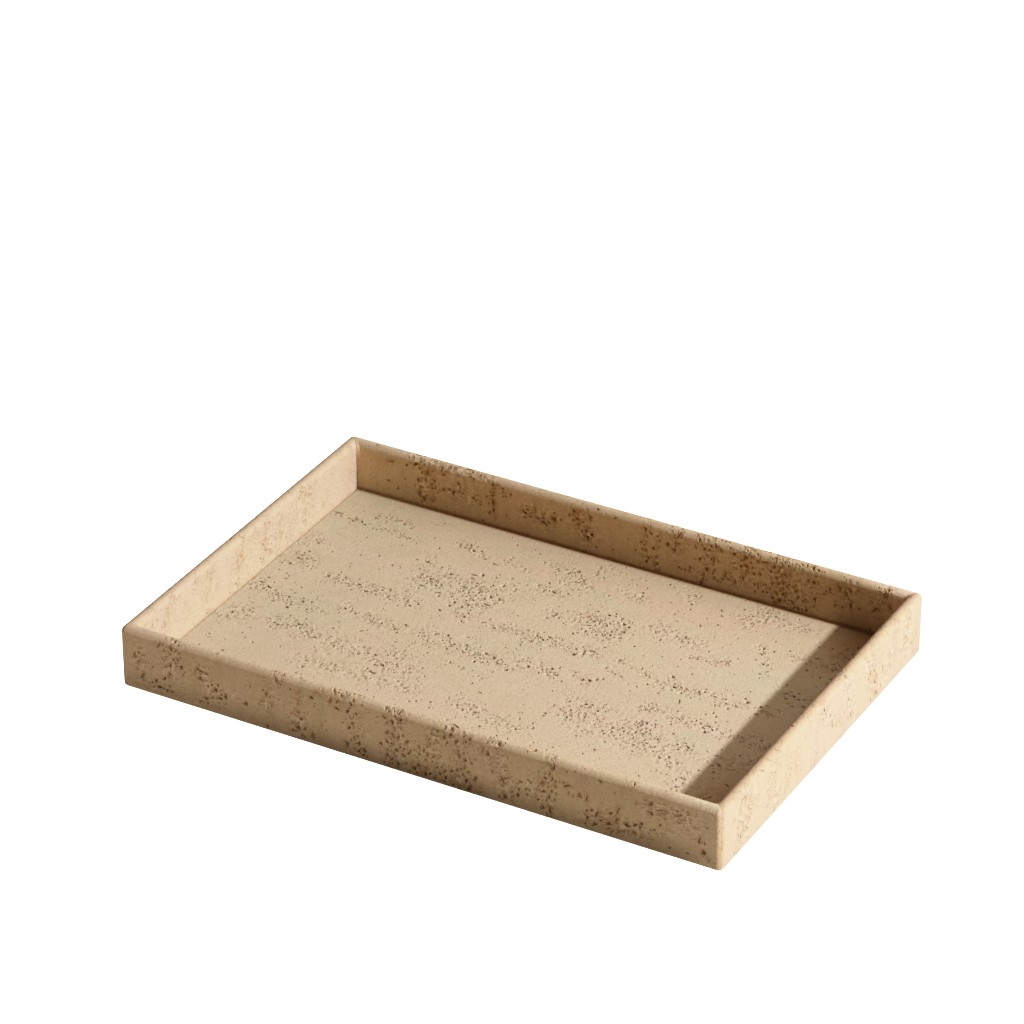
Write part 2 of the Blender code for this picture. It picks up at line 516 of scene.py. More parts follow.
def wallEnd(v, half):
    # where the sheet ends, on the mitre
    inward = sectionPoint(v)[0]
    if inward < tray["cornerRadius"]:
        return half - tray["cornerRadius"] + (tray["cornerRadius"] - inward) * mitreAngle
    return half - inward


def spread(end, fine):
    # points along a guide line, closer together near its ends
    inner = end - fine
    count = max(2, round(2 * inner / tray["grid"]))
    middle = [-inner + 2 * inner * k / count for k in range(count + 1)]
    tips = [inner + fine * k / tray["tipSteps"] for k in range(1, tray["tipSteps"] + 1)]
    return [-x for x in reversed(tips)] + middle + tips


def wallLines(half):
    # the sheet's outline, and the guide lines along the wall and round its outer corners
    corner, steps = tray["cornerRadius"], tray["cornerSteps"]
    straight = half - corner

    def bendAt(inward, k):
        return straight + (corner - inward) * mitreAngle * k / steps

    rows = []
    for v in stations:
        inward = sectionPoint(v)[0]
        if inward >= corner - tray["weld"]:
            row = spread(wallEnd(v, half), tray["innerEase"])
        else:
            bends = [bendAt(inward, k) for k in range(1, steps + 1)]
            row = [-x for x in reversed(bends)] + spread(straight, tray["innerEase"]) + bends
        rows.append([(x, v) for x in row])
    boundary = rows[0] + [row[-1] for row in rows[1:-1]]
    boundary += list(reversed(rows[-1])) + [row[0] for row in reversed(rows[1:-1])]
    lines = rows[1:-1]
    rounded = [(v, sectionPoint(v)[0]) for v in stations if sectionPoint(v)[0] <= corner]
    for k in range(steps + 1):
        for side in (-1, 1):
            lines.append([(side * bendAt(inward, k), v) for v, inward in rounded])
    return boundary, lines


def buildWall(stone, material):
    outward = Vector(stone["outward"])
    isLong = outward.y != 0
    along = Vector((1, 0, 0)) if isLong else Vector((0, 1, 0))
    half, away = tray["halfLength"], tray["halfWidth"]
    if not isLong:
        half, away = away, half
    corner = tray["cornerRadius"]
    straight = half - corner
    underEnd, total = stations[1], stations[-1]
    lowerStart = tray["wall"] - tray["lowerEdge"]
    lowerEnd = lowerStart + tray["lowerEdge"] * math.pi / 2 - tray["lowerClear"]

    def fits(x, y, radius):
        # no pore on the underside's joint, on the lower rounding or down by the base
        if y - radius < underEnd or y + radius > total - tray["base"] - tray["baseClear"]:
            return False
        if y + radius > lowerStart and y - radius < lowerEnd:
            return False
        return abs(x) + radius < min(wallEnd(y, half), straight) - tray["endClear"]

    # bands are given by height on a face; here they get their place round the section
    outerStart = outerEnd - (tray["height"] - tray["rim"])
    innerStart = outerEnd + math.pi * tray["rim"]
    innerFoot = innerStart + tray["height"] - tray["rim"]
    field = (-straight, underEnd, straight, total - tray["base"])
    sheet = dict(stone, field=field, grainTurn=math.pi / 2)
    for key in ("bands", "rust", "holes"):
        sheet[key] = []
        for face, marks in stone[key].items():
            for x, z, *rest in marks:
                y = outerStart + z if face == "outer" else innerFoot - z
                if face == "inner" and len(rest) > 1:
                    rest[2] = -rest[2]      # its turn
                sheet[key].append((x, y, *rest))
    pores = layPores(sheet, fits)
    between = []
    for low, high in ((0, underEnd + corner), (outerStart, outerEnd), (innerStart, total)):
        between += jitterGrid(-straight, low, straight, high, pores, stone["seed"] + 1)
    between = [(x, y) for x, y in between if abs(x) < wallEnd(y, half) - tray["gridClear"]]
    bm = stoneSheet(*wallLines(half), between, pores, stone["mouthTone"])
    paintBands(bm, sheet, lambda spot: total - tray["base"] - spot.y)
    for vert in bm.verts:
        vert.co = bendWall(*vert.co, half, away, along, outward)
    seam = [vert for vert in bm.verts if vert.is_boundary]
    bmesh.ops.remove_doubles(bm, verts=seam, dist=tray["weld"] * mm)
    # both ends are cut back from the mitre to leave room for the glue
    for side in (-1, 1):
        edge = (along * (side * half) + outward * away) * mm
        normal = (along * (-side) + outward).normalized()
        bmesh.ops.bisect_plane(
            bm, geom=bm.verts[:] + bm.edges[:] + bm.faces[:], dist=tray["weld"] * mm,
            plane_co=edge + normal * (tray["glue"] / 2 + tray["mitreHair"]) * mm,
            plane_no=normal, clear_inner=True,
        )
    bmesh.ops.holes_fill(bm, edges=[edge for edge in bm.edges if edge.is_boundary], sides=0)
    print(stone["node"], len(pores), "pores")
    finishStone(stone["node"] + "_slab", bm, stone["node"], material)


# Floor slab

floorStone = {
    "seed": 11, "uneven": 0.46, "stretch": 1.3, "size": 0.74, "largest": 1.5, "depth": 1.15, "channels": 0.05,
    "grainTurn": 0, "strays": 800, "density": 1, "arris": 0.35, "margin": 0.5,
    # x, y, size of single holes
    "holes": (
        (-78.5, 17.6, 0.95), (16.5, 18, 0.95), (70.7, -25.4, 0.95), (70, -20.7, 0.7), (78, -35.4, 0.7),
        (77.5, -43.5, 0.8), (-121.6, -38, 0.7), (-133.5, -54, 0.7), (54, -1, 0.75), (-28.8, -22, 0.7),
        (-3.3, -35, 0.65), (18, -34, 0.65), (88.7, -59, 0.8), (98.7, -52.4, 0.75), (44.5, -60.7, 0.7),
        (-133, 1, 0.8), (-136.5, 78, 0.6), (-116, 65.5, 0.7), (-98, 58.5, 0.7), (-54, 9, 0.8),
        (-86, -4, 0.7), (-41, 78.5, 0.6), (-4, 59, 0.6), (5, 66, 0.7), (16.5, 86, 0.7), (19, 51, 0.9),
        (37.5, 62, 0.6), (100, 41, 0.6), (91, 9, 0.8), (48, -29, 0.7), (27, 35, 0.7), (24, 33, 0.8),
        (-70, 37, 0.8), (-48, 38, 0.9), (-43, -8, 0.7), (-5, -9, 0.8), (4, -2, 0.9), (38, 8.5, 0.8),
        (125, 42, 0.6), (118, -45, 0.7),
    ),
    # x, y, length, width, turn, pores, boldness
    "bands": (
        (-119, 68, 42, 3.5, -4, 46, 0.9), (-68, 71, 14, 5, -14, 24, 0.9),
        (-43, 68.5, 16, 2.2, -8, 26, 1), (-15, 72, 24, 13, -30, 80, 0.9), (18, 71, 12, 5, -20, 18, 0.9),
        (-113, 76, 18, 6, -5, 28, 0.8), (-71, 40, 17, 24, 10, 150, 1), (-46, 38, 24, 30, -20, 230, 1),
        (-20, 56, 16, 8, -10, 34, 0.8), (17, 41, 24, 22, -25, 170, 1), (-2, 37, 12, 5, -30, 18, 0.8),
        (50, 50, 26, 10, -10, 46, 0.7), (74, 39, 14, 6, 15, 30, 0.7), (96, 49, 25, 4, -58, 20, 0.9),
        (-90, 17, 46, 9, 0, 210, 1.05), (-43, 18, 9, 7, -30, 20, 0.9), (-15, 17, 28, 8, -5, 60, 0.8),
        (10, 18, 30, 8, 0, 130, 1.1), (48, 15.5, 18, 2.5, -18, 34, 0.9), (41, 8.5, 10, 2, -25, 14, 1),
        (83, 11.5, 42, 7, 4, 170, 0.9), (115, 13, 9, 7, 0, 34, 0.9), (-137.5, -1.5, 11, 2, -22, 22, 1.1),
        (-122, -8.5, 40, 8, -5, 190, 0.9), (-89, -3, 12, 4, -25, 22, 1.2), (-73, -5, 24, 7, -5, 66, 0.9),
        (-49, -7, 11, 6, -35, 28, 1), (-42, -1.5, 14, 2, -22, 24, 1.1), (-19, -8, 38, 7, -2, 180, 0.95),
        (8, -3.5, 17, 7, -8, 64, 1.2), (29, -3, 8, 5, -30, 10, 1.2), (87, -11, 44, 7, -3, 190, 0.95),
        (46, -29, 18, 31, 80, 130, 0.75), (75, -32, 22, 26, -40, 120, 1.05),
        (96, -30, 11, 9, -30, 28, 0.95), (-90, -29, 50, 14, -4, 60, 0.85),
        (-50, -34, 22, 22, -40, 46, 0.8), (-19, -21, 20, 3, -10, 12, 0.9), (-138, 41, 9, 9, 20, 34, 0.8),
        (-134, 25, 17, 15, 10, 110, 0.9), (77, 82, 16, 16, 60, 60, 0.8), (96, 83, 12, 9, 20, 34, 0.8),
        (-4, 84, 3, 12, 5, 14, 0.8), (40, 84, 5, 12, 20, 14, 0.7), (128, -12, 26, 10, -10, 70, 0.9),
        (122, -30, 24, 16, 30, 60, 0.9), (-60, -48, 60, 12, 6, 40, 0.7), (10, -50, 40, 10, -12, 40, 0.7),
        (100, -46, 26, 8, -30, 34, 0.8), (-100, -72, 60, 8, 2, 90, 0.9), (-20, -76, 70, 9, -4, 120, 0.9),
        (70, -80, 60, 8, 3, 90, 0.9), (120, 60, 30, 8, 0, 30, 0.8), (-135, -30, 14, 20, 30, 40, 0.8),
        (126, 30, 26, 14, 0, 60, 0.9), (131, 72, 18, 22, 10, 60, 0.9), (122, -58, 34, 14, 4, 90, 0.9),
        (128, -80, 26, 12, 0, 70, 1),
    ),
    "rust": (
        (-137, 24, 10, 9, 0), (12, 44, 10, 5, -20), (75, 12, 12, 3, 0),
    ),
}
# the underside has every second of the middle veins
underStone = dict(
    floorStone, seed=16, bands=floorStone["bands"][14:34:2], holes=(), rust=(), strays=150, density=0.9,
)


def buildFloor(material):
    edgeX, edgeY = [
        tray[half] - tray["wall"] - tray["glue"] - 2 * tray["hair"] for half in ("halfLength", "halfWidth")
    ]
    arris, margin = floorStone["arris"], floorStone["margin"]
    flatX, flatY = edgeX - arris, edgeY - arris

    def fits(x, y, radius):
        return abs(x) + radius < flatX - margin and abs(y) + radius < flatY - margin

    def rim(flat, way=1):
        # points along an edge, without its end
        count = round(2 * flat / tray["grid"])
        return [way * (2 * flat * k / count - flat) for k in range(count)]

    boundary = [(x, -flatY) for x in rim(flatX)] + [(flatX, y) for y in rim(flatY)]
    boundary += [(x, flatY) for x in rim(flatX, -1)] + [(-flatX, y) for y in rim(flatY, -1)]
    jointLines = [[(x, flatY - away) for x in spread(flatX - away, away)] for away in tray["joint"]]
    field = (-flatX, -flatY, flatX, flatY)
    bottom = tray["stoneLevel"]
    top = bottom + tray["base"]
    sheets = []
    for stone, lines, level, way in ((floorStone, jointLines, top, -1), (underStone, [], bottom, 1)):
        pores = layPores(dict(stone, field=field), fits)
        between = jitterGrid(*field, pores, floorStone["seed"] + 1)
        bm = stoneSheet(boundary, lines, between, pores, 0.0)
        paintBands(bm, stone, lambda spot: edgeY - spot.y if lines else -1.0)
        for vert in bm.verts:
            vert.co = Vector((vert.co.x, vert.co.y, level + way * vert.co.z)) * mm
        print("floor sheet", len(pores), "pores")
        sheets.append(bm)
    # the under sheet joins the top one, and the sides close them
    bm, lower = sheets
    spare = bpy.data.meshes.new("spare")
    lower.to_mesh(spare)
    lower.free()
    bm.from_mesh(spare)
    bpy.data.meshes.remove(spare)
    for way, level in ((-1, top), (1, bottom)):
        ring = [
            edge for edge in bm.edges if edge.is_boundary
            and all(abs(vert.co.z - level * mm) < tray["weld"] * mm for vert in edge.verts)
        ]
        for vert in vertsOf(bmesh.ops.extrude_edge_only(bm, edges=ring)["geom"]):
            for axis, flat in enumerate((flatX, flatY)):
                if abs(vert.co[axis]) > (flat - tray["near"]) * mm:
                    vert.co[axis] += math.copysign(arris * mm, vert.co[axis])
            vert.co.z += way * arris * mm
    bmesh.ops.bridge_loops(bm, edges=[edge for edge in bm.edges if edge.is_boundary])
    finishStone("floor_slab", bm, "base_slab", material)


# Materials

def addNode(tree, kind, inputs=None, **settings):
    made = tree.nodes.new(kind)
    for key, value in settings.items():
        setattr(made, key, value)
    for key, value in (inputs or {}).items():
        if isinstance(value, bpy.types.NodeSocket):
            tree.links.new(value, made.inputs[key])
        else:
            made.inputs[key].default_value = value
    return made


def mixColour(tree, factor, first, second, blend="MIX"):
    inputs = {0: factor, 6: first, 7: second}
    return addNode(tree, "ShaderNodeMix", inputs, data_type="RGBA", blend_type=blend).outputs[2]


def remap(tree, value, low, high, newLow=0.0, newHigh=1.0, kind="SMOOTHSTEP"):
    return addNode(tree, "ShaderNodeMapRange", {
        "Value": value, "From Min": low, "From Max": high, "To Min": newLow, "To Max": newHigh,
    }, interpolation_type=kind).outputs["Result"]


def compute(tree, operation, first, second=0.0):
    return addNode(tree, "ShaderNodeMath", {0: first, 1: second}, operation=operation).outputs[0]


def multiply(tree, product, *factors):
    for factor in factors:
        product = compute(tree, "MULTIPLY", product, factor)
    return product


def noise(tree, place, scale, detail=3.0, roughness=0.55, distortion=0.0):
    return addNode(tree, "ShaderNodeTexNoise", {
        "Vector": place, "Scale": scale, "Detail": detail, "Roughness": roughness, "Distortion": distortion,
    }).outputs["Fac"]


def bump(tree, height, strength, depth, under=None, sunk=False):
    inputs = {"Height": height, "Strength": strength, "Distance": depth}
    if under is not None:
        inputs["Normal"] = under
    return addNode(tree, "ShaderNodeBump", inputs, invert=sunk).outputs["Normal"]


def startMaterial(name):
    material = bpy.data.materials.new(name)
    material.use_nodes = True
    tree = material.node_tree
    place = addNode(tree, "ShaderNodeTexCoord").outputs["Object"]
    return material, tree, tree.nodes["Principled BSDF"], place


def joinShader(tree, shader, colour, roughness, normal):
    for socket, value in (("Base Color", colour), ("Roughness", roughness), ("Normal", normal)):
        tree.links.new(value, shader.inputs[socket])


stoneLook = {
    "cream": (0.63, 0.525, 0.395, 1),
    "tan": (0.52, 0.41, 0.28, 1),
    "pore": (0.34, 0.21, 0.11, 1),
    "chalkAndHighlight": (0.83, 0.74, 0.61, 1),
    "rust": (0.46, 0.26, 0.12, 1),
    "paintedCornerShade": (0.62, 0.42, 0.22, 1),
    "shine": 0.3,
    "roughness": (0.5, 0.7),
    # noises: scale, detail, roughness, distortion, then where the pattern begins and is full
    "clouds": ((40, 5, 0.68, 0.5), (0.36, 0.64)),
    "streaks": ((230, 4, 0.65, 0.4), (0.46, 0.72)),
    "mottle": ((420, 4, 0.6), (0.36, 0.66)),
    "rusting": ((700, 3), (0.42, 0.58)),
    "patches": ((130, 3, 0.6), (0.46, 0.60)),
    "scatter": ((330, 3), (0.46, 0.60)),
    "wide": (60, 3, 0.5),
    "wideSpan": (0.3, 0.7),
    "grain": (1500, 2, 0.6),
    "grainTone": (0.3, 0.7, 0.90, 1.08),
    "wander": (2, 0.5, 1.0),  # its scale is in the finish
    "seamSpan": (0.055, 0.004),
    "hollowSpan": (0.62, 0.22),
    "ridgeSpan": (0.50, 0.76),
    "pitSpan": (0.34, 0.14),
    "leastMottle": 0.1,
    "leastCrumbs": 0.10,
    "veinSeams": 0.3,
    "veinPits": 0.9,
    # strength and depth of the bumps
    "grainBump": (0.5, 0.00010),
    "pitBump": (0.8, 0.00016),
    "crumbBump": (1.0, 0.00045),
    # places on the tray, in metres, where a tone begins and is full; most are where painted light and shade
    # begin and are full
    "castHeight": (0.0334, 0.0300),
    "outside": (0.0968, 0.0988),
    "footEnd": (0.126, 0.149),
    "footLeft": (-0.15, 0.010),
    "footRight": (0.022, 0.060),
    "leastFoot": 0.3,
    "leftPaintedLight": (-0.070, -0.142),
    "rightPaintedLight": (0.116, 0.146),
    "backPaintedShade": (0.030, 0.094),
    "cornerX": (0.106, 0.132),
    "cornerTop": (0.004, 0.0075),
    "paintedShadeBack": (0.040, 0.094),
    "paintedShadeFront": (-0.015, -0.060),
}


def stoneMaterial(name, finish):
    look = stoneLook
    material, tree, shader, place = startMaterial(name)
    drawn = addNode(tree, "ShaderNodeMapping", {
        "Vector": place, "Location": finish["shift"], "Scale": finish["stretch"],
    }).outputs["Vector"]
    pore, vein, rust, joint = [
        addNode(tree, "ShaderNodeAttribute", attribute_name=layer).outputs["Fac"]
        for layer in ("pore", "vein", "rust", "joint")
    ]
    x, y, height = addNode(tree, "ShaderNodeSeparateXYZ", {"Vector": place}).outputs

    def pattern(where, kind, low=0.0, high=1.0):
        shape, ends = look[kind]
        return remap(tree, noise(tree, where, *shape), *ends, low, high)

    def cells(scale):
        return addNode(tree, "ShaderNodeTexVoronoi", {"Vector": place, "Scale": scale}).outputs["Distance"]

    def span(value, part, low=0.0, high=1.0):
        return remap(tree, value, *look[part], low, high)

    def larger(first, second):
        return compute(tree, "MAXIMUM", first, second)

    def over(colour, share, tone, shade):
        # lays a shade over the stone where the share is
        return mixColour(tree, multiply(tree, share, finish[tone]), colour, shade)

    def deepen(colour, share, shade):
        return mixColour(tree, share, colour, shade, "MULTIPLY")

    # slow clouds of pink and grey-green, then streaks along the bedding
    tint = mixColour(tree, pattern(drawn, "clouds"), *finish["tints"])
    wide = noise(tree, drawn, *look["wide"])
    colour = mixColour(tree, span(wide, "wideSpan", 0.0, finish["tint"]), look["cream"], tint)
    colour = mixColour(tree, pattern(drawn, "streaks", 0.0, finish["streakTone"]), colour, look["tan"])
    inVein = multiply(tree, vein, pattern(drawn, "mottle", look["leastMottle"]))
    colour = over(colour, inVein, "veinTone", look["tan"])
    colour = over(colour, multiply(tree, rust, pattern(place, "rusting")), "rustTone", look["rust"])
    # in the veins the stone is crumbly: small hollows, darker than the ridges between them
    crumbs = cells(finish["crumbScale"])
    hollow = multiply(tree, span(crumbs, "hollowSpan"), larger(inVein, look["leastCrumbs"]))
    # short curly seams in patches, where a wandering noise passes its middle
    wander = noise(tree, place, finish["seamScale"], *look["wander"])
    seam = span(compute(tree, "ABSOLUTE", compute(tree, "SUBTRACT", wander, 0.5)), "seamSpan")
    patches = pattern(drawn, "patches", 0.0, finish["seams"])
    seam = multiply(tree, seam, larger(patches, multiply(tree, inVein, look["veinSeams"])))
    darkest = larger(hollow, multiply(tree, seam, finish["seamTone"]))
    hollow = larger(hollow, seam)
    colour = over(colour, darkest, "crumbTone", finish["hollow"])
    # the ridges between the hollows are paler: partly pale calcite, partly painted highlight
    ridge = multiply(tree, span(crumbs, "ridgeSpan"), inVein)
    colour = over(colour, ridge, "ridgeTone", look["chalkAndHighlight"])

    # grains, pits too small to cut, and the stain in and round the pores
    grain = noise(tree, place, *look["grain"])
    colour = deepen(colour, 1.0, remap(tree, grain, *look["grainTone"], "LINEAR"))
    pits = span(cells(finish["pitScale"]), "pitSpan")
    where = larger(multiply(tree, vein, look["veinPits"]), pattern(place, "scatter"))
    pitted = multiply(tree, pits, where)
    colour = over(colour, pitted, "pitTone", look["pore"])
    stain = multiply(tree, pore, span(height, "castHeight", finish["rimPore"]))
    colour = over(colour, stain, "poreTone", finish["poreColour"])
    # painted shade along the joint of wall and base, deepest along the back
    colour = deepen(colour, multiply(tree, joint, finish["jointPaintedShade"]), finish["joint"])
    # painted shade towards the foot of the front and back walls, fading at their right ends and uneven along
    # the front wall
    left, middle, right = finish["footSpread"]
    foot = multiply(
        tree, remap(tree, height, *finish["footHeight"], 1.0, 0.0),
        span(x, "footEnd", 1.0, look["leastFoot"]), span(x, "footLeft", left, middle),
        span(x, "footRight", 1.0, right),
    )
    colour = deepen(colour, foot, finish["footPaintedShade"])
    # the cast is partly the slab's own tone and partly painted light: it lightens the back wall's shaded
    # inner face and darkens the brightly lit right wall
    cast = mixColour(tree, span(height, "castHeight"), finish["rimPaintedShade"], finish["cast"])
    if "outerCast" in finish:
        cast = mixColour(tree, span(y, "outside"), cast, finish["outerCast"])
    colour = deepen(colour, 1.0, cast)
    # painted light and shade: a slab is lighter or darker at either end and at the back, and the floor gets
    # painted shade in its right-hand corners, where the right wall's shadow lies
    for side, part in ((x, "leftPaintedLight"), (x, "rightPaintedLight"), (y, "backPaintedShade")):
        colour = deepen(colour, span(side, part), finish[part])
    rightLow = multiply(tree, span(x, "cornerX"), span(height, "cornerTop"))
    for part in ("paintedShadeBack", "paintedShadeFront"):
        colour = deepen(colour, multiply(tree, rightLow, span(y, part), finish[part]), look["paintedCornerShade"])

    shader.inputs["Specular IOR Level"].default_value = look["shine"]
    relief = bump(tree, grain, *look["grainBump"])
    relief = bump(tree, pitted, *look["pitBump"], relief, sunk=True)
    relief = bump(tree, hollow, *look["crumbBump"], relief, sunk=True)
    joinShader(tree, shader, colour, span(wide, "wideSpan", *look["roughness"]), relief)
    return material


# the bedding runs along the floor slab and up the walls
even = (1, 1, 1, 1)
plainFinish = {
    "leftPaintedLight": even, "rightPaintedLight": even, "backPaintedShade": even, "rimPaintedShade": even,
    "footHeight": (0.0, 0.001), "footPaintedShade": even, "footSpread": (1, 1, 1),
    "paintedShadeBack": 0.0, "paintedShadeFront": 0.0, "joint": (0.62, 0.42, 0.22, 1),
}
floorFinish = dict(
    plainFinish, stretch=(0.45, 1.0, 1.0), shift=(0.9, 0.4, 0), cast=(0.96, 0.98, 1.01, 1),
    tints=((0.655, 0.513, 0.41, 1), (0.600, 0.535, 0.395, 1)), tint=0.8,
    # painted shade: darker at the left end and towards the back
    leftPaintedLight=(0.90, 0.93, 0.94, 1), backPaintedShade=(0.97, 0.945, 0.89, 1),
    streakTone=0.16, veinTone=0.12, rustTone=0.3,
    pitScale=950, pitTone=0.20, poreTone=1.0, rimPore=1.0, poreColour=(0.40, 0.265, 0.145, 1),
    crumbScale=430, crumbTone=0.38, hollow=(0.44, 0.30, 0.17, 1), ridgeTone=0.45,
    # painted shade in the right-hand corners, in the right wall's shadow
    seamScale=300, seams=0.16, seamTone=0.25, paintedShadeBack=0.85, paintedShadeFront=0.6,
    jointPaintedShade=1.0, joint=(0.58, 0.36, 0.14, 1),     # painted shade along the joint with the back wall
)
frontFinish = dict(
    plainFinish, stretch=(1.0, 1.0, 0.18), shift=(0.7, 0.2, 0.4), cast=(1.01, 0.985, 0.97, 1),
    tints=((0.655, 0.515, 0.435, 1), (0.605, 0.53, 0.365, 1)), tint=0.7, rimPaintedShade=(1, 0.99, 0.98, 1),
    # painted shade along the joint with the base, and painted light towards the right end
    streakTone=0.40, veinTone=0.40, rustTone=0.7, jointPaintedShade=0.4, rightPaintedLight=(1.07, 1.09, 1.15, 1),
    pitScale=850, pitTone=0.30, poreTone=0.82, rimPore=0.85, poreColour=(0.38, 0.245, 0.13, 1),
    crumbScale=450, crumbTone=0.55, hollow=(0.42, 0.29, 0.17, 1), ridgeTone=0.85,
    seamScale=260, seams=0.20, seamTone=0.6,
    # painted shade towards the foot, uneven along the wall
    footHeight=(0.0, 0.0175), footPaintedShade=(0.265, 0.225, 0.155, 1), footSpread=(0.55, 1.06, 0.74),
)
backFinish = dict(
    # painted light: the cast and both ends lighten the shaded inner face, the outer face keeps its own cast,
    # and the rim gets painted shade
    frontFinish, shift=(0.2, 0.9, 0.1), cast=(1.28, 1.165, 0.93, 1), rimPaintedShade=(0.94, 0.91, 0.86, 1),
    outerCast=(0.98, 0.995, 1.02, 1), leftPaintedLight=(1.07, 1.09, 1.18, 1), rightPaintedLight=(1.30, 1.33, 1.50, 1),
    poreTone=0.95, poreColour=(0.39, 0.235, 0.08, 1), rustTone=0.95,
    crumbTone=0.75, hollow=(0.42, 0.27, 0.11, 1), ridgeTone=0.9,
    # painted shade towards the foot and along the joint with the base
    footHeight=(-0.001, 0.028), footPaintedShade=(0.52, 0.50, 0.48, 1), footSpread=(1, 1, 1),
    jointPaintedShade=1.0, joint=(0.36, 0.19, 0.05, 1),
)
leftFinish = dict(
    plainFinish, stretch=(1.0, 1.0, 0.40), shift=(0.1, 0.6, 0.8), cast=(0.995, 0.965, 0.985, 1),
    # painted shade on the lit crest of the rim
    tints=((0.645, 0.525, 0.42, 1), (0.63, 0.53, 0.365, 1)), tint=0.8, rimPaintedShade=(0.90, 0.87, 0.865, 1),
    streakTone=0.12, veinTone=0.22, rustTone=0.4, jointPaintedShade=0.1,
    pitScale=900, pitTone=0.20, poreTone=0.50, rimPore=0.6, poreColour=(0.44, 0.32, 0.19, 1),
    crumbScale=330, crumbTone=0.50, hollow=(0.52, 0.42, 0.26, 1), ridgeTone=0.35,
    seamScale=230, seams=0.4, seamTone=0.5,
)
rightFinish = dict(
    # painted shade: the cast darkens this brightly lit wall, and the rim cast darkens its lit crest
    leftFinish, shift=(0.5, 0.3, 0.2), cast=(0.935, 0.862, 0.91, 1), rimPaintedShade=(0.85, 0.775, 0.745, 1),
    poreTone=0.25, rustTone=0.05, crumbTone=0.35, veinTone=0.08, streakTone=0.06, seams=0.5, tint=0.6,
    ridgeTone=0.7, hollow=(0.48, 0.43, 0.28, 1), poreColour=(0.42, 0.36, 0.22, 1),
)

mottleSpan = {"colour": (0.35, 0.65), "roughness": (0.3, 0.7)}
fillerLook = {
    "scale": 500, "pale": (0.56, 0.44, 0.29, 1), "dark": (0.48, 0.36, 0.21, 1),
    "roughness": (0.4, 0.6), "bump": (0.4, 0.00005),
    "back": (0.34, 0.19, 0.06, 1),  # painted shade along the back bead
    "backPaintedShadeStart": (0.090, 0.0935),
}
siliconeLook = {
    "scale": 300, "pale": (0.74, 0.73, 0.70, 1), "dark": (0.68, 0.67, 0.64, 1),
    "roughness": (0.25, 0.4), "bump": (0.3, 0.00003),
}
tapeLook = {
    "scale": 400, "pale": (0.82, 0.81, 0.77, 1), "dark": (0.76, 0.75, 0.70, 1),
    "roughness": (0.4, 0.55), "bump": (0.3, 0.00003),
}


def mottledMaterial(name, look):
    material, tree, shader, place = startMaterial(name)
    mottle = noise(tree, place, look["scale"])
    colour = mixColour(tree, remap(tree, mottle, *mottleSpan["colour"]), look["pale"], look["dark"])
    # painted shade darkens the bead along the back
    if "back" in look:
        y = addNode(tree, "ShaderNodeSeparateXYZ", {"Vector": place}).outputs["Y"]
        colour = mixColour(tree, remap(tree, y, *look["backPaintedShadeStart"]), colour, look["back"])
    roughness = remap(tree, mottle, *mottleSpan["roughness"], *look["roughness"])
    joinShader(tree, shader, colour, roughness, bump(tree, mottle, *look["bump"]))
    return material


# The walls' stones, in millimetres along a wall from its middle and up its face.
# Holes: x, height, size. Bands: x, height, length, width, turn, pores, boldness.

frontStone = {
    "node": "front_wall", "outward": (0, -1, 0),
    "seed": 21, "uneven": 0.5, "stretch": 1.35, "size": 0.96, "largest": 2.0, "depth": 0.78, "channels": 0.05,
    "strays": 130, "density": 1.4, "mouthTone": 0.5,
    "holes": {"outer": (
        (-104.5, 20, 0.9), (-104, 14, 0.9), (-61, 26, 0.8), (-49, 21, 0.6), (-76, 15, 0.7),
        (-60, 5, 0.8), (33, 25, 0.8), (31.5, 19, 1), (40, 16, 1), (86, 17, 1), (99, 24, 0.8),
        (9.5, 20, 0.8), (47.5, 25, 0.7), (62.5, 23, 0.6), (2, 19, 0.6), (105, 13, 0.7), (-12, 24, 0.8),
        (-10, 14, 0.9), (17, 5, 1), (21, 2.6, 0.9), (-43, 15, 0.6),
    )},
    "bands": {"outer": (
        (-139.5, 16, 13, 4.5, 90, 26, 1.1), (-124, 22, 17, 9, 80, 46, 0.9),
        (-104, 17, 11, 6, -60, 16, 1.2), (-101, 8, 20, 6, 30, 34, 1.1), (-74, 16, 8, 8, 60, 14, 1),
        (-57, 9, 12, 8, -80, 22, 1.1), (-32, 29, 9, 8, -60, 44, 1.1), (-28, 16, 24, 6.5, -78, 74, 1.1),
        (-8, 17, 30, 9, 88, 150, 1.15), (10, 7, 14, 16, 88, 110, 1.15), (12, 24, 10, 8, 60, 26, 1),
        (25, 14, 27, 7, 86, 52, 1), (44, 17, 26, 10, -70, 50, 1), (68, 16, 28, 5.5, 88, 84, 1),
        (98, 8, 24, 8, 8, 84, 1.05), (120, 11, 8, 7, 40, 12, 0.9), (127, 22, 22, 10, 0, 60, 0.6),
        (141.5, 8, 10, 2.5, -80, 14, 0.9), (55, 12, 14, 9, 30, 24, 0.8), (-128, 5, 12, 4, 0, 12, 0.8),
        (-68, 33, 10, 5, 90, 16, 0.8), (20, 33, 10, 8, 90, 26, 0.8),
    ), "inner": (
        (-100, 18, 26, 8, 90, 70, 1), (-60, 18, 24, 6, 85, 50, 1), (-28, 18, 26, 8, 95, 80, 1.1),
        (-6, 18, 26, 9, 90, 90, 1.1), (30, 16, 22, 8, 80, 50, 1), (68, 18, 26, 6, 92, 60, 1),
        (105, 16, 22, 10, 90, 60, 1),
    )},
    "rust": {"outer": (
        (-46, 29, 5, 2.5, 30), (96, 9, 7, 6, 0), (-57, 20, 12, 4, 90), (18, 4, 34, 9, 0),
    )},
}

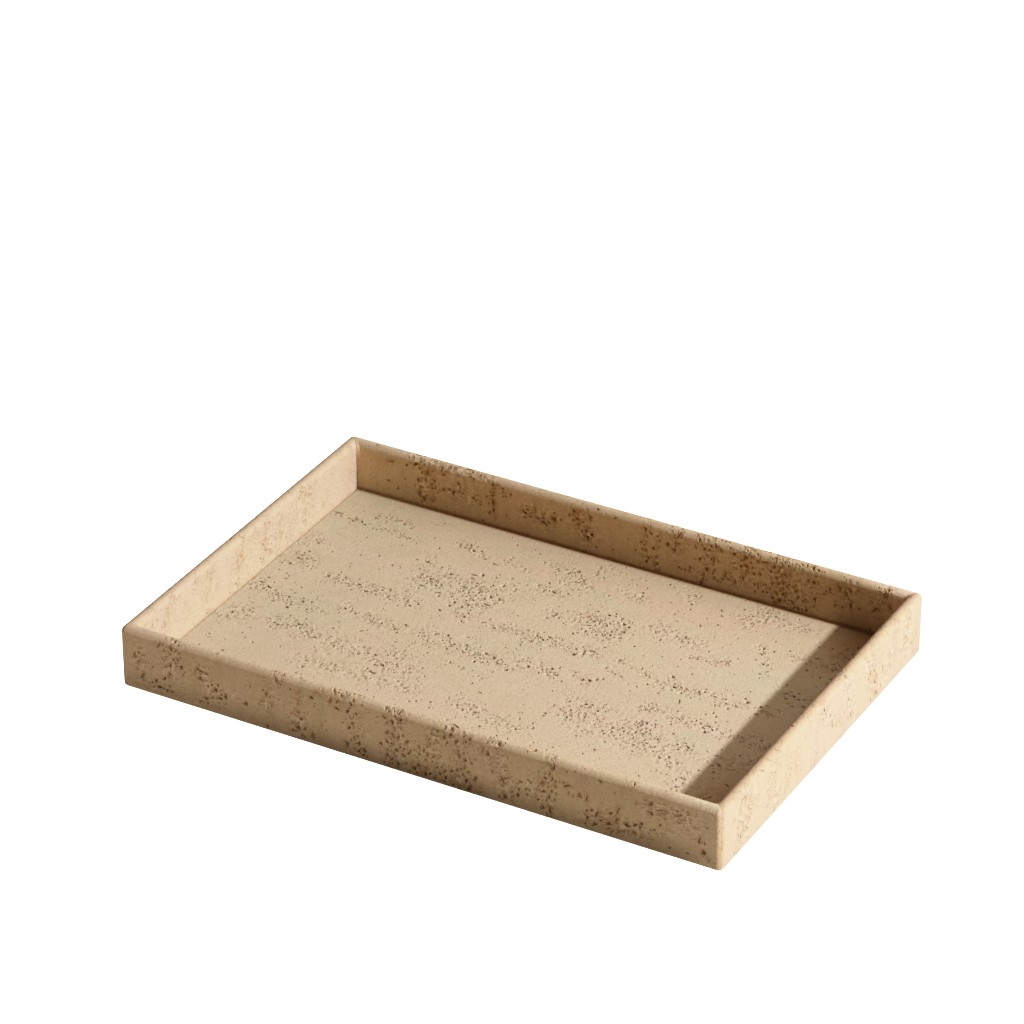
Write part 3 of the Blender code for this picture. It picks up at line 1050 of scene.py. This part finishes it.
backStone = {
    "node": "back_wall", "outward": (0, 1, 0),
    "seed": 31, "uneven": 0.5, "stretch": 1.35, "size": 0.72, "largest": 1.8, "depth": 0.9, "channels": 0.05,
    "strays": 140, "density": 2.15, "mouthTone": 0.6,
    "holes": {"inner": (
        (-121, 11.5, 0.9), (-108, 16, 0.8), (-102.5, 19, 0.8), (-68.8, 14.5, 1), (-73, 19, 0.6),
        (-21.5, 16.3, 1), (-14, 10, 0.8), (-41, 20, 0.6), (3, 19, 0.6), (81, 18, 0.9), (92, 18, 0.7),
        (-135.5, 23, 0.5), (-136, 18.5, 0.5), (46, 21, 0.8), (112, 20.5, 0.6),
    )},
    "bands": {"inner": (
        (-105, 20, 20, 11, 85, 60, 1), (-88, 19, 8, 7, 60, 12, 0.9), (-76, 19, 8, 8, 40, 14, 0.8),
        (-69, 22, 16, 2.6, 90, 34, 1), (-42, 18, 20, 9, -10, 44, 1), (-21, 20, 14, 10, -60, 50, 1),
        (11.5, 20, 24, 3, 90, 34, 0.9), (18, 16, 18, 2.5, 88, 26, 0.9), (44, 21, 22, 9, 84, 120, 1),
        (63, 23, 18, 8, 86, 110, 0.9), (83, 21, 24, 15, 88, 300, 1), (98, 18, 14, 9, 70, 50, 0.9),
        (114, 19, 18, 9, 80, 36, 0.9), (132, 24, 14, 8, 60, 40, 0.8), (-110, 32, 12, 8, 90, 26, 0.7),
        (-95, 31, 40, 5, 0, 40, 0.6), (28, 25, 10, 10, 90, 16, 0.8), (56, 15, 12, 5, 90, 14, 0.8),
    ), "outer": (
        (-110, 16, 28, 10, 88, 110, 1.1), (-70, 15, 26, 6, 92, 60, 1), (-38, 17, 24, 12, 85, 80, 1),
        (-5, 14, 24, 7, 90, 60, 1), (42, 16, 28, 10, 86, 120, 1.1), (78, 18, 26, 14, 90, 150, 1.1),
        (118, 12, 18, 10, 70, 60, 1),
    )},
    "rust": {"inner": (
        (-101.5, 20, 18, 2.4, 88), (-68.8, 22, 18, 2.6, 90), (-24, 23, 8, 6, 90), (11.5, 25, 8, 3, 90),
        (64, 22, 12, 4, 90), (82, 20, 12, 8, 90),
    )},
}

leftStone = {
    "node": "left_wall", "outward": (-1, 0, 0),
    "seed": 41, "uneven": 0.45, "stretch": 1.5, "size": 0.75, "largest": 1.3, "depth": 0.5, "channels": 0.2,
    "strays": 120, "density": 1.2, "mouthTone": 0.4,
    "holes": {"inner": (
        (-6, 7.5, 0.6), (63.5, 12, 0.6), (-34, 11, 0.5), (14, 10, 0.5), (12, 17.5, 0.5), (55, 22, 0.4),
    )},
    "bands": {"inner": (
        (-9.5, 19, 24, 6, 70, 60, 0.9), (12, 19, 24, 6, 78, 50, 0.9), (-37, 20, 14, 8, 70, 20, 0.7),
        (24, 17, 14, 8, 60, 22, 0.8), (48, 20, 16, 14, 60, 34, 0.7), (-70, 24, 14, 6, 60, 12, 0.7),
    ), "outer": (
        (-60, 15, 26, 8, 88, 70, 1.1), (-10, 16, 26, 8, 84, 80, 1.1), (14, 15, 26, 6, 92, 60, 1.1),
        (60, 14, 24, 12, 90, 90, 1),
    )},
    "rust": {"inner": (
        (-10, 21, 8, 3, 70), (12, 16, 8, 3, 80),
    )},
}

rightStone = {
    "node": "right_wall", "outward": (1, 0, 0),
    "seed": 51, "uneven": 0.45, "stretch": 1.5, "size": 0.85, "largest": 1.4, "depth": 0.6, "channels": 0.25,
    "strays": 100, "density": 1.3, "mouthTone": 0.4,
    "holes": {"outer": (
        (-50, 7, 0.5), (-73, 5, 0.5), (66, 11, 0.5),
    )},
    "bands": {"outer": (
        (-84, 14, 22, 5, 80, 40, 0.8), (-76, 15, 20, 8, 70, 40, 0.8), (-50, 6, 9, 6, 60, 18, 0.9),
        (1, 20, 18, 6, -45, 40, 0.8), (21, 20, 26, 8, -80, 90, 0.9), (46, 15, 24, 11, -70, 80, 0.8),
        (63, 14, 14, 6, 60, 20, 0.8), (82, 18, 20, 9, 80, 40, 0.8),
    ), "inner": (
        (-60, 16, 24, 10, 90, 60, 1), (-10, 18, 24, 8, 90, 60, 1), (22, 18, 24, 9, 85, 80, 1),
        (60, 18, 24, 12, 90, 70, 1),
    )},
    "rust": {"outer": (
        (46, 14, 12, 8, -70),
    )},
}


# Glue beads round the base, films in the mitres, and the tapes under the feet

glueShape = {
    "below": 0.12,     # bead under the slab's top
    "softened": 0.06,  # rounding along a bead
    "beadSegments": 2,
    "tapeRadius": 4.5,
    "tapeEdge": 0.12,
    "tapeHair": 0.005,
    "tapeSides": 48,
    "tapeSegments": 3,
}


def softenEdges(bm, edges, offset, segments):
    bmesh.ops.bevel(
        bm, geom=edges, offset=offset * mm, affect="EDGES", segments=segments, profile=0.5, material=-1,
    )


def buildBeads(material):
    # a squeezed-out bead along each edge of the base; the long ones reach from wall to wall
    hair, glue = tray["hair"], tray["glue"]
    inner = (tray["halfLength"] - tray["wall"], tray["halfWidth"] - tray["wall"])
    bottom = tray["stoneLevel"]
    top = bottom + tray["base"] - glueShape["below"]
    ends = (inner[0] - hair, inner[1] - glue - 2 * hair)
    for axis, side, name in ((0, -1, "left"), (0, 1, "right"), (1, -1, "front"), (1, 1, "back")):
        near = inner[axis] - hair
        thick = sorted((side * near, side * (near - glue)))
        end = ends[1 - axis]
        spans = [thick, (-end, end)] if axis == 0 else [(-end, end), thick]
        low = Vector((spans[0][0], spans[1][0], bottom)) * mm
        high = Vector((spans[0][1], spans[1][1], top)) * mm
        bm = bmesh.new()
        bmesh.ops.create_cube(bm, size=1.0)
        bmesh.ops.scale(bm, verts=bm.verts[:], vec=high - low)
        bmesh.ops.translate(bm, verts=bm.verts[:], vec=(low + high) / 2)
        softenEdges(bm, bm.edges[:], glueShape["softened"], glueShape["beadSegments"])
        finishPiece("bead_" + name, bm, "base_glue_" + name, material)


def buildFilms(material):
    # the film in each mitre has the wall's own section, drawn out to the film's thickness
    half, away = tray["halfLength"], tray["halfWidth"]
    for sideY, endName in ((-1, "front"), (1, "back")):
        for sideX, sideName in ((-1, "left"), (1, "right")):
            along, outward = Vector((sideX, 0, 0)), Vector((0, sideY, 0))
            across = (along - outward).normalized()
            bm = bmesh.new()
            section = [
                bm.verts.new(bendWall(wallEnd(v, half), v, 0, half, away, along, outward))
                for v in stations[:-1]
            ]
            film = bm.faces.new(section)
            drawn = bmesh.ops.extrude_face_region(bm, geom=[film], use_keep_orig=True)["geom"]
            bmesh.ops.translate(bm, verts=vertsOf(drawn), vec=across * tray["glue"] * mm)
            bmesh.ops.translate(bm, verts=bm.verts[:], vec=across * -tray["glue"] / 2 * mm)
            name = endName + "_" + sideName
            finishPiece("film_" + name, bm, "mitre_glue_" + name, material)


def buildTapes(material):
    # each tape joins a foot to the stone
    for name in [name for name in frame["nodes"] if name.startswith("foot_tape")]:
        low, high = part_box(name)
        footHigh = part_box(name.replace("foot_tape", "foot"))[1]
        bottom = footHigh.z + glueShape["tapeHair"] * mm
        top = (tray["stoneLevel"] - glueShape["tapeHair"]) * mm
        radius = glueShape["tapeRadius"] * mm
        bm = bmesh.new()
        bmesh.ops.create_cone(
            bm, cap_ends=True, segments=glueShape["tapeSides"], radius1=radius, radius2=radius,
            depth=top - bottom,
        )
        rims = [edge for edge in bm.edges if abs(edge.verts[0].co.z - edge.verts[1].co.z) < tray["weld"] * mm]
        softenEdges(bm, rims, glueShape["tapeEdge"], glueShape["tapeSegments"])
        middle = (low + high) / 2
        bmesh.ops.translate(bm, verts=bm.verts[:], vec=(middle.x, middle.y, (top + bottom) / 2))
        finishPiece(name.replace("foot_tape", "tape_disc"), bm, name, material)


# Stage, light and camera

studio = {
    "floorHalf": 4.0,
    "floorColour": (0.93, 0.92, 0.90, 1),
    "floorRoughness": 0.9,
    "floorShine": 0.1,
    "paperLight": (9.0, 9.2, 9.6),
    "zenith": (0.90, 0.765, 0.60, 1),  # soft light overhead, red green blue
    "low": (0.08, 0.04, 0.02, 1),      # what the room gives from the sides
    "ground": (1.74, 1.54, 1.21, 1),   # light thrown back up from below, in front
    "groundAside": 0.6,                # and its share elsewhere
    "asideSpan": (-0.8, 0.1),
    "horizon": 0.08,
    "overhead": (0.40, 0.78),          # where the soft light overhead begins and is full
    "lean": (0.30, 0.40),              # how far it leans to the right and to the back
    "keyUp": 34.2,                     # degrees above the floor
    "keyBack": 4.0,                    # degrees behind the right-hand side
    "keyDistance": 1.9,
    "keySize": 0.087,
    "keyLight": (41.5, 44.0, 46.8),    # red green blue, in watts
    "cameraTurn": 29.1446,             # degrees from the front towards the right
    "cameraUp": 30.324,
    "cameraDistance": 1.95633,
    "cameraAside": -0.0055,
    "cameraRaise": 0.05666,
    "nearest": 0.05,
    "lens": 153.507,
    "sensor": 36.0,
    "contrast": 0.8,                   # below 1 deepens the shade, as the photograph's print does
    "whiteLevel": 2.0,                 # the brightest light that still shows below white
    # light as a share of that level, and how it shows: straight, then a soft shoulder
    "shoulder": (
        (0.0, 0.0), (0.30, 0.60), (0.40, 0.775), (0.50, 0.885), (0.625, 0.945), (0.8, 0.985), (1.0, 1.0),
    ),
    "straightEnd": 2,                  # points of it that stay straight
}


def direction(up, aside, back):
    # a unit vector: aside to the right and back to the rear, before it rises by up degrees
    rise = math.radians(up)
    return Vector((math.cos(rise) * aside, math.cos(rise) * back, math.sin(rise)))


def setLight(light, levels):
    light.energy = max(levels)
    light.color = [value / max(levels) for value in levels]


def buildPaper():
    bm = bmesh.new()
    bmesh.ops.create_grid(bm, x_segments=1, y_segments=1, size=studio["floorHalf"])
    mesh = bpy.data.meshes.new("studio_floor")
    bm.to_mesh(mesh)
    bm.free()
    floor = placeObject("studio_floor", mesh)
    material = bpy.data.materials.new("studio_paper")
    material.use_nodes = True
    shader = material.node_tree.nodes["Principled BSDF"]
    shader.inputs["Base Color"].default_value = studio["floorColour"]
    shader.inputs["Roughness"].default_value = studio["floorRoughness"]
    shader.inputs["Specular IOR Level"].default_value = studio["floorShine"]
    mesh.materials.append(material)
    # the paper shows white without a cast shadow; what it throws back comes from the air's lower half
    floor.visible_diffuse = False
    floor.visible_glossy = False
    paper = bpy.data.collections.new("paper")
    paper.objects.link(floor)
    lamp = bpy.data.lights.new("paper_light", "SUN")
    setLight(lamp, studio["paperLight"])
    sun = placeObject("paper_light", lamp)
    sun.light_linking.receiver_collection = paper
    sun.light_linking.blocker_collection = paper
    return floor


def buildAir():
    world = bpy.data.worlds.new("studio_air")
    world.use_nodes = True
    tree = world.node_tree
    towards = addNode(tree, "ShaderNodeTexCoord").outputs["Generated"]
    split = addNode(tree, "ShaderNodeSeparateXYZ", {"Vector": towards})
    aside = remap(tree, split.outputs["Y"], *studio["asideSpan"], 1.0, studio["groundAside"])
    ground = mixColour(tree, 1.0, studio["ground"], aside, "MULTIPLY")
    above = remap(tree, split.outputs["Z"], -studio["horizon"], studio["horizon"])
    air = mixColour(tree, above, ground, studio["low"])
    leaning = Vector((*studio["lean"], 1)).normalized()
    overhead = addNode(tree, "ShaderNodeVectorMath", {0: towards, 1: leaning}, operation="DOT_PRODUCT")
    soft = remap(tree, overhead.outputs["Value"], *studio["overhead"])
    air = mixColour(tree, soft, air, studio["zenith"])
    tree.links.new(air, tree.nodes["Background"].inputs["Color"])
    bpy.context.scene.world = world


def buildKey(middle, floor):
    back = math.radians(studio["keyBack"])
    towards = direction(studio["keyUp"], math.cos(back), math.sin(back))
    light = bpy.data.lights.new("key", "AREA")
    light.shape = "DISK"
    light.size = studio["keySize"]
    setLight(light, studio["keyLight"])
    key = placeObject("key", light)
    key.location = middle + towards * studio["keyDistance"]
    key.rotation_euler = towards.to_track_quat("Z", "Y").to_euler()
    # the paper stays evenly lit, so the key light leaves it out
    lit = bpy.data.collections.new("key_lights_these")
    for piece in bpy.data.objects:
        if piece.type == "MESH" and piece is not floor:
            lit.objects.link(piece)
    key.light_linking.receiver_collection = lit


def buildCamera(middle):
    turn = math.radians(studio["cameraTurn"])
    backward = direction(studio["cameraUp"], math.sin(turn), -math.cos(turn))
    right = Vector((math.cos(turn), math.sin(turn), 0))
    upward = backward.cross(right)
    lens = bpy.data.cameras.new("camera")
    lens.lens = studio["lens"]
    lens.sensor_width = studio["sensor"]
    lens.clip_start = studio["nearest"]
    camera = placeObject("camera", lens)
    camera.location = (
        middle + backward * studio["cameraDistance"]
        + right * studio["cameraAside"] + upward * studio["cameraRaise"]
    )
    camera.rotation_euler = backward.to_track_quat("Z", "Y").to_euler()
    scene = bpy.context.scene
    scene.camera = camera
    view = scene.view_settings
    view.view_transform = "Standard"
    view.look = "None"
    view.gamma = studio["contrast"]
    view.use_curve_mapping = True
    view.curve_mapping.white_level = [studio["whiteLevel"]] * 3
    curve = view.curve_mapping.curves[3].points        # the one for all three colours
    curve[0].location, curve[1].location = studio["shoulder"][0], studio["shoulder"][-1]
    for x, y in studio["shoulder"][1:-1]:
        curve.new(x, y)
    for index in range(studio["straightEnd"]):
        curve[index].handle_type = "VECTOR"
    view.curve_mapping.update()


def buildTray():
    buildFloor(stoneMaterial("floor_stone", floorFinish))
    walls = (frontStone, backStone, leftStone, rightStone)
    for stone, finish in zip(walls, (frontFinish, backFinish, leftFinish, rightFinish)):
        buildWall(stone, stoneMaterial(stone["node"] + "_stone", finish))
    filler = mottledMaterial("stone_filler", fillerLook)
    buildBeads(filler)
    buildFilms(filler)
    buildTapes(mottledMaterial("tape", tapeLook))
    silicone = mottledMaterial("clear_silicone", siliconeLook)
    for name, node in frame["nodes"].items():
        if name.startswith("foot_") and not name.startswith("foot_tape"):
            node.data.materials.clear()
            node.data.materials.append(silicone)
    print("feet finished")


def buildStudio():
    middle = Vector((0, 0, (tray["stoneLevel"] + tray["height"] / 2) * mm))
    floor = buildPaper()
    buildAir()
    buildKey(middle, floor)
    buildCamera(middle)
    print("studio ready")


buildTray()
buildStudio()
